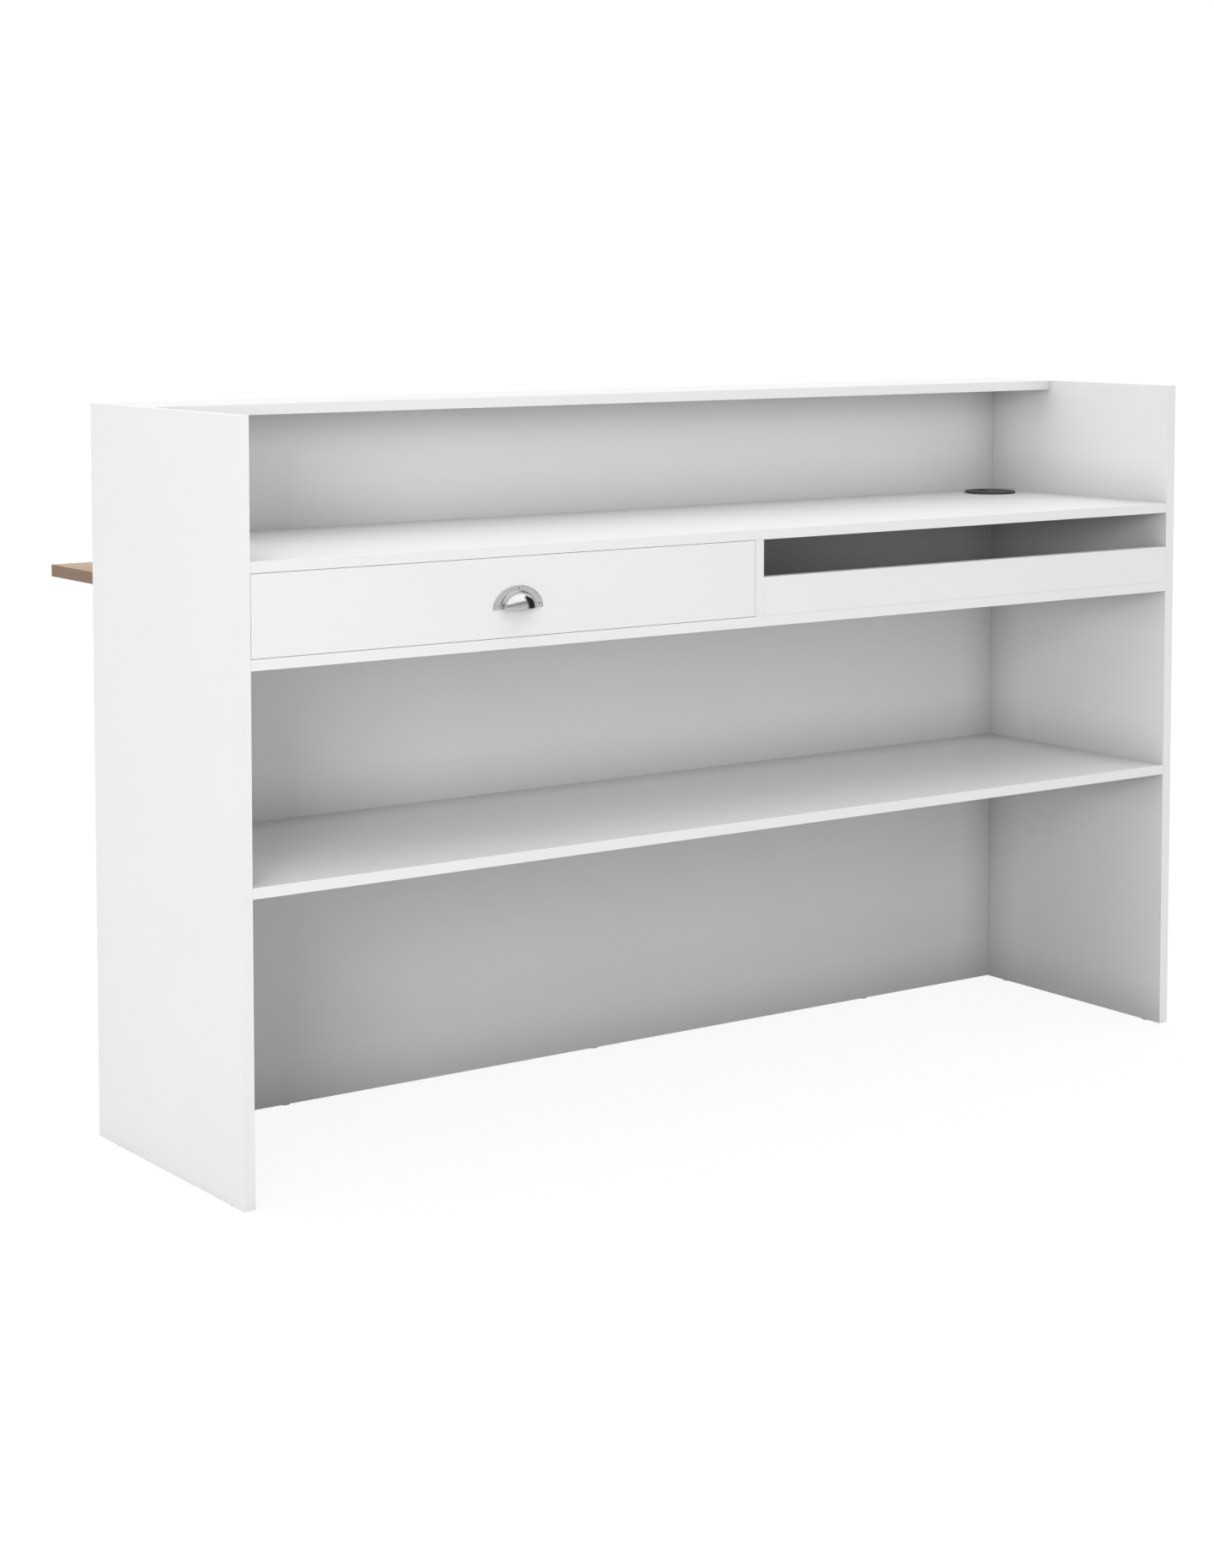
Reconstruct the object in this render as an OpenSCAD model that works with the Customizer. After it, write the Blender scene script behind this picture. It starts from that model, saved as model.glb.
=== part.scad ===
// Checkout counter, flat-pack board on edge-bored fittings.
// +X is to the cashier's right, +Y points at the customer, +Z is up.
// The origin is on the floor, under the middle of the whole counter.

/* [Overall] */
// Width over both side panels
counter_w = 1800; // [1400:10:2200]
// Depth of the side panels
counter_d = 450; // [370:5:600]
// Height of the worktop above the floor
worktop_z = 900; // [740:5:1100]
// Height of the narrow top above the worktop
screen_h = 200; // [140:5:360]

/* [Boards] */
// Thickness of the side panels and the customer panel
side_t = 18; // [16:0.5:25]
// Thickness of the level boards, the divider and the fascia
board_t = 16; // [15:0.5:22]
// Depth of the narrow top
top_shelf_d = 164; // [130:2:260]
// Height of the middle shelf's upper face
shelf_z = 451; // [300:1:560]
// Outside height of the box under the worktop, the worktop included
box_h = 150; // [140:1:220]
// Clear width of the drawer's bay
drawer_bay_w = 875; // [500:5:1060]
// Clear height of the open compartment's mouth
mouth_h = 58; // [40:1:70]

/* [Customer ledge] */
// Height of the ledge's upper face
ledge_z = 850; // [780:1:940]
// Thickness of the ledge
ledge_t = 18; // [15:1:30]
// How far the ledge stands out from the customer panel
ledge_reach = 142; // [125:1:260]

/* [Drawer] */
// Gap all round the drawer front
front_gap = 0.6; // [0.4:0.1:4]
// Thickness of the drawer front
front_t = 16; // [15:0.5:22]
// Thickness of the drawer's sides and back
drawer_side_t = 15; // [14:0.5:18]
// Height of the drawer's sides
drawer_side_h = 88; // [80:1:96]
// Space under the drawer's sides
drawer_lift = 14; // [8:1:20]
// Thickness of the drawer bottom
bottom_t = 4; // [3:0.5:6]
// Depth of the groove that holds the bottom
groove_d = 6; // [4:0.5:7]
// Width of the brace under the drawer bottom
brace_w = 45; // [30:1:80]

/* [Drawer slides] */
// Thickness of a closed slide
slide_t = 12.7; // [12.7:0.1:13.5]
// Height of the slide's cabinet member
slide_h = 45.5; // [45:0.1:48]
// Thickness of the slide's sheet steel
slide_sheet = 1.2; // [1:0.05:1.3]
// Diameter of the slide's balls
ball_d = 3.8; // [3.5:0.05:4]

/* [Cup pull] */
// Width of the pull's flange
pull_w = 86; // [70:1:110]
// Height of the pull's flange
pull_h = 33.5; // [28:0.5:45]
// Inside width of the cup
cup_w = 54; // [40:1:64]
// Inside height of the cup
cup_h = 23; // [18:0.5:26]
// How far the cup stands out
pull_reach = 21; // [16:0.5:30]
// Thickness of the pull's metal
pull_t = 1.8; // [1.2:0.1:3]

/* [Cable grommet] */
// Diameter of the hole in the worktop
grommet_hole_d = 80; // [60:1:100]
// Distance from the grommet's centre to both inner corner faces
grommet_edge = 80; // [62:1:140]
// Height of the grommet above the worktop
grommet_lip = 4; // [3:0.5:6]
// Width of the grommet's rim outside the hole
grommet_rim = 4.5; // [3:0.5:8]
// Width of the cable slot in the cap
slot_w = 20; // [12:1:30]

/* [Fittings] */
// Diameter of a cam lock
cam_d = 15; // [12:0.5:18]
// Depth of a cam lock
cam_h = 12.5; // [11:0.5:13]
// Distance from a board's edge to the cam's centre
cam_set = 24; // [22:0.5:34]
// Diameter of a wooden dowel
dowel_d = 8; // [6:0.5:9]
// Distance from a cam to its dowel
dowel_pitch = 32; // [28:1:64]
// Height of a floor glide
glide_h = 2; // [1:0.5:5]

/* [Hidden] */
$fn = 48;

eps = 0.1;

// Colours
white = "white";
oak = [0.64, 0.52, 0.40];
hardboard = [0.80, 0.78, 0.74];
steel = [0.72, 0.73, 0.75];
chrome = [0.78, 0.78, 0.80];
charcoal = [0.20, 0.20, 0.21];
beech = [0.84, 0.70, 0.52];

// Main planes
counter_h = worktop_z + screen_h;
in_w = counter_w - 2 * side_t;
front_y = -(counter_d + ledge_reach - pull_reach) / 2;
back_y = front_y + counter_d;
panel_y = back_y - side_t;
in_d = panel_y - front_y;
box_top = worktop_z - board_t;
box_z = worktop_z - box_h;
box_in_z = box_z + board_t;
bay_h = box_top - box_in_z;
bay_x = -in_w / 2;
divider_x = bay_x + drawer_bay_w;
mouth_x = divider_x + board_t;
fascia_h = bay_h - mouth_h;
shelf_y = back_y - top_shelf_d;
top_under = counter_h - board_t;

// Drawer box
drawer_w = drawer_bay_w - 2 * slide_t;
drawer_x = bay_x + drawer_bay_w / 2;
drawer_y = front_y + front_t;
drawer_z = box_in_z + drawer_lift;
drawer_mid_z = drawer_z + drawer_side_h / 2;
front_z = box_in_z + bay_h / 2;
bottom_z = drawer_z + 10;
groove_play = 0.1;

// Drawer slides, made in steps of 50 mm
slide_step = 50;
slide_setback = 2;
slide_rear_room = 8;
slide_len = slide_step * floor((in_d - front_t - slide_setback - slide_rear_room) / slide_step);
slide_y = drawer_y + slide_setback;
drawer_d = slide_len + slide_setback + 3;
ball_play = 0.075;
ball_gap = ball_d + 2 * ball_play;
middle_x = 3.2;
inner_x = 5.8;
ball_x = 8;
outer_in = slide_h / 2 - slide_sheet;
middle_out = outer_in - ball_gap;
middle_in = middle_out - slide_sheet;
inner_out = middle_in - ball_gap;
cage_t = 0.8;
cage_margin = 10;
cage_len = slide_len / 2 - 2 * cage_margin;
ball_count = 8;
slide_screw_in = 37;
slide_screw_ys = [slide_screw_in, slide_len / 2, slide_len - slide_screw_in];
slide_screw_d = 3.8;

// Fittings
cam_play = 0.1;
bolt_d = 5;
bolt_grip = 11;
bolt_bore_d = 8;
bolt_collar_d = 7;
bolt_neck_d = 4.6;
bolt_head_d = 6.4;
bolt_head_h = 3;
bolt_neck_len = cam_set - 2;
bolt_reach = bolt_neck_len + bolt_head_h + 0.2;
dowel_play = 0.05;
dowel_in = 10;
dowel_out = 20;
dowel_end = 0.5;
cover_d = cam_d + 2;
cover_t = 0.8;
edge_in = 60;

// Ledge fixing
ledge_mid_z = ledge_z - ledge_t / 2;
ledge_screw_d = 5;
ledge_screw_len = 50;
ledge_head_d = 9;
ledge_head_h = 3;
bracket_t = 4;
bracket_w = 30;
bracket_down = 70;
bracket_out = 110;
bracket_screw_d = 4;
bracket_screw_len = 12;
bracket_head_d = 8;
bracket_head_h = 2.2;

// Cup pull
cup_wall = pull_t;
pull_z = front_z - pull_h / 2;
pull_screw_d = 2.6;
pull_screw_head_d = 4.6;

// Positions spread evenly over a length, a margin in from both ends
function spread(length, margin, n) =
    [for (i = [0 : n - 1]) -length / 2 + margin + i * (length - 2 * margin) / (n - 1)];

// A joint is [point, rotation, board thickness]. In its own frame the board runs along +X
// from its edge, the board that it meets lies behind the edge, and the cam opens along -Z.
END_LEFT = [0, 0, 0];
END_RIGHT = [0, 0, 180];
EDGE_REAR = [0, 0, -90];
EDGE_FRONT = [0, 0, 90];
EDGE_DOWN = [180, -90, 0];
EDGE_UP = [0, 90, 0];

function end_joints(z, ys) =
    [for (s = [-1, 1], y = ys) [[s * in_w / 2, y, z], s < 0 ? END_LEFT : END_RIGHT, board_t]];
function rear_joints(z) =
    [for (x = spread(in_w, in_w / 8, 4)) [[x, panel_y, z], EDGE_REAR, board_t]];

deep_ys = [front_y + edge_in, panel_y - edge_in - dowel_pitch];
narrow_ys = [shelf_y + 28, shelf_y + 90];
worktop_ends = end_joints(worktop_z - board_t / 2, deep_ys);
worktop_rear = rear_joints(worktop_z - board_t / 2);
floor_ends = end_joints(box_z + board_t / 2, deep_ys);
floor_rear = rear_joints(box_z + board_t / 2);
shelf_ends = end_joints(shelf_z - board_t / 2, deep_ys);
shelf_rear = rear_joints(shelf_z - board_t / 2);
top_ends = end_joints(counter_h - board_t / 2, narrow_ys);
divider_low = [for (y = deep_ys) [[divider_x + board_t / 2, y, box_in_z], EDGE_DOWN, board_t]];
divider_high = [for (y = deep_ys) [[divider_x + board_t / 2, y, box_top], EDGE_UP, board_t]];
fascia_y = front_y + board_t / 2;
fascia_z = box_in_z + fascia_h / 2;
fascia_left = [[mouth_x, fascia_y, fascia_z], [90, 0, 0], board_t];
fascia_right = [[in_w / 2, fascia_y, fascia_z], [90, 180, 0], board_t];
fascia_dowel_off = 18;

end_cams = concat(worktop_ends, floor_ends, shelf_ends, top_ends);
rear_cams = concat(worktop_rear, floor_rear, shelf_rear);
level_cams = concat(end_cams, rear_cams);
divider_cams = concat(divider_low, divider_high);
fascia_cams = [fascia_left, fascia_right];

// Dowel joints use the same frame: [point, rotation]
function beside(joints, off) =
    [for (j = joints) [j[0] + off * beside_dir(j[1]), j[1]]];
function beside_dir(turn) =
    turn == EDGE_REAR ? [1, 0, 0]
    : turn == [90, 0, 0] || turn == [90, 180, 0] ? [0, 0, 1]
    : [0, 1, 0];

end_dowels = beside(end_cams, dowel_pitch);
rear_dowels = beside(rear_cams, dowel_pitch);
divider_low_dowels = beside(divider_low, dowel_pitch);
divider_high_dowels = beside(divider_high, dowel_pitch);
fascia_dowels = concat(beside(fascia_cams, fascia_dowel_off), beside(fascia_cams, -fascia_dowel_off));
fascia_foot_dowels = [
    for (x = spread(in_w / 2 - mouth_x, 80, 4))
        [[(in_w / 2 + mouth_x) / 2 + x, fascia_y, box_in_z], EDGE_DOWN]
];
panel_dowel_zs = [shelf_z / 4, shelf_z * 0.7, (shelf_z + box_z) / 2, (worktop_z + top_under) / 2];
panel_dowels = [
    for (s = [-1, 1], z = panel_dowel_zs)
        [[s * in_w / 2, back_y - side_t / 2, z], s < 0 ? END_LEFT : END_RIGHT]
];
top_dowels = [
    for (x = spread(in_w, 120, 6)) [[x, back_y - side_t / 2, top_under], EDGE_UP]
];
ledge_screw_xs = spread(in_w, 80, 6);
ledge_dowels = [for (x = ledge_screw_xs) [[x + dowel_pitch, back_y, ledge_mid_z], EDGE_FRONT]];
all_dowels = concat(
    end_dowels, rear_dowels, divider_low_dowels, divider_high_dowels, fascia_dowels,
    fascia_foot_dowels, panel_dowels, top_dowels, ledge_dowels
);

// Drawer joints
drawer_side_x = drawer_w / 2 - drawer_side_t / 2;
drawer_cams = [
    [[drawer_x - drawer_side_x, drawer_y, drawer_mid_z], [-90, 0, 90], drawer_side_t],
    [[drawer_x + drawer_side_x, drawer_y, drawer_mid_z], [90, 0, 90], drawer_side_t]
];
drawer_dowel_off = 24;
brace_h = bottom_z - drawer_z;
drawer_end_dowels = [
    for (j = drawer_cams, s = [-1, 1]) [j[0] + [0, 0, s * drawer_dowel_off], EDGE_FRONT]
];
brace_dowel_d = 5;
brace_ys = [drawer_y, drawer_y + drawer_d - drawer_side_t];
back_screw_zs = [drawer_z + 21, drawer_z + drawer_side_h - 13];
back_screw_d = 4;
back_screw_len = 40;
back_screw_head_d = 7.5;

module place(j) {
    translate(j[0]) rotate(j[1]) children();
}

// Cavities of the fittings
module cam_cut(t) {
    rotate([0, 90, 0]) cylinder(d = bolt_bore_d, h = bolt_reach);
    translate([cam_set, 0, -t / 2 - eps])
        cylinder(d = cam_d + 2 * cam_play, h = cam_h + cam_play + eps);
}

module bolt_hole() {
    rotate([0, -90, 0]) cylinder(d = bolt_d, h = bolt_grip);
}

module dowel_hole() {
    translate([-dowel_in, 0, 0]) rotate([0, 90, 0])
        cylinder(d = dowel_d + 2 * dowel_play, h = dowel_in + dowel_out);
}

// The fittings themselves
module cross_recess(size, depth) {
    for (turn = [0, 90]) rotate([0, 0, turn])
        translate([-size / 2, -size / 10, -eps]) cube([size, size / 5, depth + eps]);
}

module cam_lock(t) {
    recess_deep = 2.5;
    difference() {
        translate([cam_set, 0, -t / 2]) cylinder(d = cam_d, h = cam_h);
        translate([cam_set - cam_d, 0, 0]) rotate([0, 90, 0])
            cylinder(d = bolt_head_d + 1, h = cam_d + 3.5);
        translate([cam_set, 0, -t / 2]) cross_recess(8, recess_deep);
    }
}

module cam_bolt() {
    collar_h = 3;
    rotate([0, -90, 0]) cylinder(d = bolt_d, h = bolt_grip);
    rotate([0, 90, 0]) {
        cylinder(d = bolt_collar_d, h = collar_h);
        cylinder(d = bolt_neck_d, h = bolt_neck_len);
        translate([0, 0, bolt_neck_len]) cylinder(d = bolt_head_d, h = bolt_head_h);
    }
}

module cam_cover(t) {
    translate([cam_set, 0, -t / 2 - cover_t]) cylinder(d = cover_d, h = cover_t);
}

module dowel() {
    dowel_len = dowel_in + dowel_out - 2 * dowel_end;
    translate([dowel_end - dowel_in, 0, 0]) rotate([0, 90, 0]) cylinder(d = dowel_d, h = dowel_len);
}

// A countersunk screw along +Z, its head's top at the origin
module sunk_screw(d, len, head_d, head_h) {
    difference() {
        union() {
            cylinder(d1 = head_d, d2 = d, h = head_h);
            cylinder(d = d, h = len);
        }
        cross_recess(head_d * 0.6, head_h * 0.6);
    }
}

module sunk_hole(d, len, head_d, head_h) {
    translate([0, 0, -eps]) cylinder(d = head_d, h = eps);
    cylinder(d1 = head_d, d2 = d, h = head_h);
    cylinder(d = d, h = len);
}

// A level board between the side panels, bored for its cams and dowels
module level_board(y, d, top) {
    translate([-in_w / 2, y, top - board_t]) cube([in_w, d, board_t]);
}

module side_panel(s) {
    x = s < 0 ? -counter_w / 2 : counter_w / 2 - side_t;
    difference() {
        translate([x, front_y, glide_h]) cube([side_t, counter_d, counter_h - glide_h]);
        for (j = end_cams) if (j[0][0] * s > 0) place(j) bolt_hole();
        for (j = concat(end_dowels, panel_dowels)) if (j[0][0] * s > 0) place(j) dowel_hole();
        if (s > 0) place(fascia_right) bolt_hole();
        if (s > 0) for (j = fascia_dowels) if (j[0][0] > in_w / 4) place(j) dowel_hole();
        if (s < 0) cabinet_screw_holes(-1);
        for (y = glide_ys) glide_hole(s * (counter_w - side_t) / 2, y);
    }
}

module left_side_panel() {
    color(white) side_panel(-1);
}

module right_side_panel() {
    color(white) side_panel(1);
}

panel_glide_xs = spread(in_w, in_w / 6, 3);

module customer_panel() {
    color(white) difference() {
        translate([-in_w / 2, panel_y, glide_h]) cube([in_w, side_t, top_under - glide_h]);
        for (j = rear_cams) place(j) bolt_hole();
        for (j = concat(rear_dowels, panel_dowels, top_dowels, ledge_dowels)) place(j) dowel_hole();
        for (x = ledge_screw_xs) ledge_screw_at(x)
            sunk_hole(ledge_screw_d, ledge_screw_len, ledge_head_d, ledge_head_h);
        for (x = bracket_xs, z = bracket_low_zs) bracket_low_screw_at(x, z)
            cylinder(d = bracket_screw_d, h = bracket_t + bracket_screw_len);
        for (x = panel_glide_xs) glide_hole(x, back_y - side_t / 2);
    }
}

module top_shelf() {
    color(white) difference() {
        level_board(shelf_y, top_shelf_d, counter_h);
        for (j = top_ends) place(j) cam_cut(board_t);
        for (j = concat(beside(top_ends, dowel_pitch), top_dowels)) place(j) dowel_hole();
    }
}

module worktop() {
    color(white) difference() {
        level_board(front_y, in_d, worktop_z);
        for (j = concat(worktop_ends, worktop_rear)) place(j) cam_cut(board_t);
        for (j = beside(concat(worktop_ends, worktop_rear), dowel_pitch)) place(j) dowel_hole();
        for (j = divider_high) place(j) bolt_hole();
        for (j = divider_high_dowels) place(j) dowel_hole();
        grommet_at() {
            translate([0, 0, -board_t - eps]) cylinder(d = grommet_hole_d, h = board_t + 2 * eps);
            translate([0, 0, -rim_sunk]) cylinder(r = rim_r + rim_play, h = rim_sunk + eps);
        }
    }
}

module box_floor() {
    color(white) difference() {
        level_board(front_y, in_d, box_in_z);
        for (j = concat(floor_ends, floor_rear)) place(j) cam_cut(board_t);
        for (j = beside(concat(floor_ends, floor_rear), dowel_pitch)) place(j) dowel_hole();
        for (j = divider_low) place(j) bolt_hole();
        for (j = concat(divider_low_dowels, fascia_foot_dowels)) place(j) dowel_hole();
    }
}

module box_divider() {
    color(white) difference() {
        translate([divider_x, front_y, box_in_z]) cube([board_t, in_d, bay_h]);
        for (j = divider_cams) place(j) cam_cut(board_t);
        for (j = concat(divider_low_dowels, divider_high_dowels)) place(j) dowel_hole();
        place(fascia_left) bolt_hole();
        for (j = fascia_dowels) if (j[0][0] < in_w / 4) place(j) dowel_hole();
        cabinet_screw_holes(1);
    }
}

module compartment_fascia() {
    color(white) difference() {
        translate([mouth_x, front_y, box_in_z]) cube([in_w / 2 - mouth_x, board_t, fascia_h]);
        for (j = fascia_cams) place(j) cam_cut(board_t);
        for (j = concat(fascia_dowels, fascia_foot_dowels)) place(j) dowel_hole();
    }
}

module middle_shelf() {
    color(white) difference() {
        level_board(front_y, in_d, shelf_z);
        for (j = concat(shelf_ends, shelf_rear)) place(j) cam_cut(board_t);
        for (j = beside(concat(shelf_ends, shelf_rear), dowel_pitch)) place(j) dowel_hole();
    }
}

// Customer ledge, its brackets and screws
bracket_xs = spread(counter_w, counter_w / 8 + 22, 4);
bracket_low_zs = [for (off = [20, 50]) ledge_z - ledge_t - off];
bracket_top_ys = [back_y + 40, back_y + 92];

module ledge_screw_at(x) {
    translate([x, panel_y, ledge_mid_z]) rotate([-90, 0, 0]) children();
}

module bracket_low_screw_at(x, z) {
    translate([x, back_y + bracket_t, z]) rotate([90, 0, 0]) children();
}

module bracket_top_screw_at(x, y) {
    translate([x, y, ledge_z - ledge_t - bracket_t]) children();
}

module wood_ledge() {
    color(oak) difference() {
        translate([-counter_w / 2, back_y, ledge_z - ledge_t]) cube([counter_w, ledge_reach, ledge_t]);
        for (j = ledge_dowels) place(j) dowel_hole();
        for (x = ledge_screw_xs) ledge_screw_at(x) cylinder(d = ledge_screw_d, h = ledge_screw_len);
        for (x = bracket_xs, y = bracket_top_ys) bracket_top_screw_at(x, y)
            cylinder(d = bracket_screw_d, h = bracket_t + bracket_screw_len);
    }
}

module ledge_brackets() {
    under = ledge_z - ledge_t;
    color(white) for (x = bracket_xs) difference() {
        union() {
            translate([x - bracket_w / 2, back_y, under - bracket_down])
                cube([bracket_w, bracket_t, bracket_down]);
            translate([x - bracket_w / 2, back_y, under - bracket_t])
                cube([bracket_w, bracket_out, bracket_t]);
        }
        for (z = bracket_low_zs) bracket_low_screw_at(x, z)
            sunk_hole(bracket_screw_d, bracket_t + eps, bracket_head_d, bracket_head_h);
        for (y = bracket_top_ys) bracket_top_screw_at(x, y)
            sunk_hole(bracket_screw_d, bracket_t + eps, bracket_head_d, bracket_head_h);
    }
}

module ledge_bracket_screws() {
    len = bracket_t + bracket_screw_len;
    color(steel) for (x = bracket_xs) {
        for (z = bracket_low_zs) bracket_low_screw_at(x, z)
            sunk_screw(bracket_screw_d, len, bracket_head_d, bracket_head_h);
        for (y = bracket_top_ys) bracket_top_screw_at(x, y)
            sunk_screw(bracket_screw_d, len, bracket_head_d, bracket_head_h);
    }
}

module ledge_screws() {
    color(steel) for (x = ledge_screw_xs) ledge_screw_at(x)
        sunk_screw(ledge_screw_d, ledge_screw_len, ledge_head_d, ledge_head_h);
}

// Cams, bolts, covers, dowels and glides of the carcass
module cam_locks() {
    color(steel) for (j = concat(level_cams, divider_cams, fascia_cams)) place(j) cam_lock(j[2]);
}

module cam_bolts() {
    color(steel) for (j = concat(level_cams, divider_cams, fascia_cams)) place(j) cam_bolt();
}

module cam_covers() {
    color(white) for (j = level_cams) place(j) cam_cover(j[2]);
}

module wood_dowels() {
    color(beech) for (j = all_dowels) place(j) dowel();
}

glide_d = 15;
glide_ys = [front_y + 40, back_y - 60];
nail_d = 2.4;
nail_len = 14;

module glide_hole(x, y) {
    translate([x, y, glide_h - eps]) cylinder(d = nail_d, h = nail_len + eps);
}

module glide(x, y) {
    translate([x, y, 0]) {
        cylinder(d = glide_d, h = glide_h);
        cylinder(d = nail_d, h = glide_h + nail_len);
    }
}

module floor_glides() {
    color(white) {
        for (s = [-1, 1], y = glide_ys) glide(s * (counter_w - side_t) / 2, y);
        for (x = panel_glide_xs) glide(x, back_y - side_t / 2);
    }
}

// Cable grommet: a sleeve whose rim lies in a shallow recess of the worktop, and a cap that turns in it
sleeve_play = 0.3;
sleeve_wall = 2;
sleeve_drop = board_t + 2;
rim_r = grommet_hole_d / 2 + grommet_rim;
rim_sunk = 0.4;
rim_play = 0.25;
cap_play = 0.3;
seat_z = 1.2;
seat_w = 3;
rim_band = 4;
cap_seat_r = grommet_hole_d / 2 + grommet_rim - rim_band;
bore_r = cap_seat_r - seat_w;
skirt_t = 1.6;
skirt_drop = 6;
slot_end_r = bore_r - 20;

module grommet_at() {
    translate([in_w / 2 - grommet_edge, panel_y - grommet_edge, worktop_z]) children();
}

module grommet_ring() {
    sleeve_r = grommet_hole_d / 2 - sleeve_play;
    sleeve_in = sleeve_r - sleeve_wall;
    color(charcoal) grommet_at() rotate_extrude($fn = 96) polygon([
        [bore_r, seat_z], [bore_r, 0], [sleeve_in, -2], [sleeve_in, -sleeve_drop],
        [sleeve_r, -sleeve_drop], [sleeve_r, -rim_sunk], [rim_r, -rim_sunk], [rim_r, grommet_lip - 1.5],
        [rim_r - 1.5, grommet_lip], [cap_seat_r, grommet_lip], [cap_seat_r, seat_z]
    ]);
}

module grommet_cap() {
    cap_r = cap_seat_r - cap_play;
    skirt_r = bore_r - cap_play;
    cap_z = seat_z + cap_play;
    color(charcoal) grommet_at() difference() {
        rotate_extrude($fn = 96) polygon([
            [0, cap_z], [skirt_r - skirt_t, cap_z], [skirt_r - skirt_t, cap_z - skirt_drop],
            [skirt_r, cap_z - skirt_drop], [skirt_r, cap_z], [cap_r, cap_z],
            [cap_r, grommet_lip - 0.5], [cap_r - 0.5, grommet_lip], [0, grommet_lip]
        ]);
        translate([0, 0, cap_z - skirt_drop - 1]) {
            translate([-slot_w / 2, slot_end_r, 0]) cube([slot_w, cap_r, skirt_drop + grommet_lip]);
            translate([0, slot_end_r, 0]) cylinder(d = slot_w, h = skirt_drop + grommet_lip);
        }
    }
}

// Drawer slides. In a slide's frame X runs from the cabinet to the drawer, Y to the rear.
module slide_at(s) {
    if (s < 0) translate([bay_x, slide_y, drawer_mid_z]) children();
    else translate([divider_x, slide_y, drawer_mid_z]) mirror([1, 0, 0]) children();
}

// A channel section: a web at x, with its flanges reaching to x_end
module channel(x_web, x_end, half_h, len, lip) {
    x_low = min(x_web, x_end);
    reach = abs(x_end - x_web);
    web_x = x_end > x_web ? x_low : x_low + reach - slide_sheet;
    translate([web_x, 0, -half_h]) cube([slide_sheet, len, 2 * half_h]);
    for (z = [-half_h, half_h - slide_sheet])
        translate([x_low, 0, z]) cube([reach, len, slide_sheet]);
    if (lip > 0) for (z = [-half_h, half_h - slide_sheet - lip])
        translate([x_low + reach - slide_sheet + 0.2, 0, z]) cube([slide_sheet - 0.2, len, slide_sheet + lip]);
}

module slide_screw_at(x, turn) {
    for (y = slide_screw_ys) translate([x, y, 0]) rotate([0, turn, 0]) children();
}

slide_head_d = 7;
slide_head_h = 0.9;
slide_screw_grip = 12;
drawer_screw_grip = 10;

module pan_screw(grip) {
    translate([0, 0, -slide_head_h]) cylinder(d = slide_head_d, h = slide_head_h);
    cylinder(d = slide_screw_d, h = slide_sheet + grip);
}

module cabinet_screw_holes(s) {
    slide_at(s) slide_screw_at(slide_sheet, -90)
        cylinder(d = slide_screw_d, h = slide_sheet + slide_screw_grip);
}

module drawer_screw_holes(s) {
    slide_at(s) slide_screw_at(slide_t - slide_sheet, 90)
        cylinder(d = slide_screw_d, h = slide_sheet + drawer_screw_grip);
}

module slide_outer(s) {
    color(steel) slide_at(s) difference() {
        channel(0, slide_t - 1.8, slide_h / 2, slide_len, 1.1);
        slide_screw_at(slide_sheet + eps, -90) cylinder(d = slide_screw_d + 0.1, h = slide_sheet + 2 * eps);
    }
}

module slide_middle(s) {
    color(steel) slide_at(s) channel(middle_x, slide_t - 1.5, middle_out, slide_len, 0);
}

module slide_inner(s) {
    color(steel) slide_at(s) difference() {
        channel(slide_t, inner_x, inner_out, slide_len, 0);
        slide_screw_at(slide_t - slide_sheet - eps, 90)
            cylinder(d = slide_screw_d + 0.1, h = slide_sheet + 2 * eps);
    }
}

ball_pitch = (cage_len - 20) / (ball_count - 1);
ball_ys = [for (i = [0 : ball_count - 1]) slide_len / 4 + cage_margin + 10 + i * ball_pitch];

// A cage: a thin web with an arm along each row of balls
module slide_cage(s, web_x, race_z) {
    web_t = 0.4;
    arm_end = ball_x + 1.2;
    color(steel) slide_at(s) translate([0, slide_len / 4 + cage_margin, 0]) difference() {
        union() {
            translate([web_x, 0, -race_z - cage_t / 2]) cube([web_t, cage_len, 2 * race_z + cage_t]);
            for (side = [-1, 1]) translate([web_x, 0, side * race_z - cage_t / 2])
                cube([arm_end - web_x, cage_len, cage_t]);
        }
        for (y = ball_ys, side = [-1, 1])
            translate([ball_x, y - slide_len / 4 - cage_margin, side * race_z - cage_t])
                cylinder(d = ball_d + 0.2, h = 2 * cage_t);
    }
}

module slide_balls(s, race_z) {
    color(chrome) slide_at(s) for (y = ball_ys, side = [-1, 1])
        translate([ball_x, y, side * race_z]) sphere(d = ball_d, $fn = 24);
}

outer_race = (outer_in + middle_out) / 2;
inner_race = (middle_in + inner_out) / 2;
outer_cage_x = 2.4;
inner_cage_x = 4.9;

module left_slide_outer() slide_outer(-1);
module left_slide_middle() slide_middle(-1);
module left_slide_inner() slide_inner(-1);
module left_slide_outer_cage() slide_cage(-1, outer_cage_x, outer_race);
module left_slide_outer_balls() slide_balls(-1, outer_race);
module left_slide_inner_cage() slide_cage(-1, inner_cage_x, inner_race);
module left_slide_inner_balls() slide_balls(-1, inner_race);
module right_slide_outer() slide_outer(1);
module right_slide_middle() slide_middle(1);
module right_slide_inner() slide_inner(1);
module right_slide_outer_cage() slide_cage(1, outer_cage_x, outer_race);
module right_slide_outer_balls() slide_balls(1, outer_race);
module right_slide_inner_cage() slide_cage(1, inner_cage_x, inner_race);
module right_slide_inner_balls() slide_balls(1, inner_race);

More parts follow.
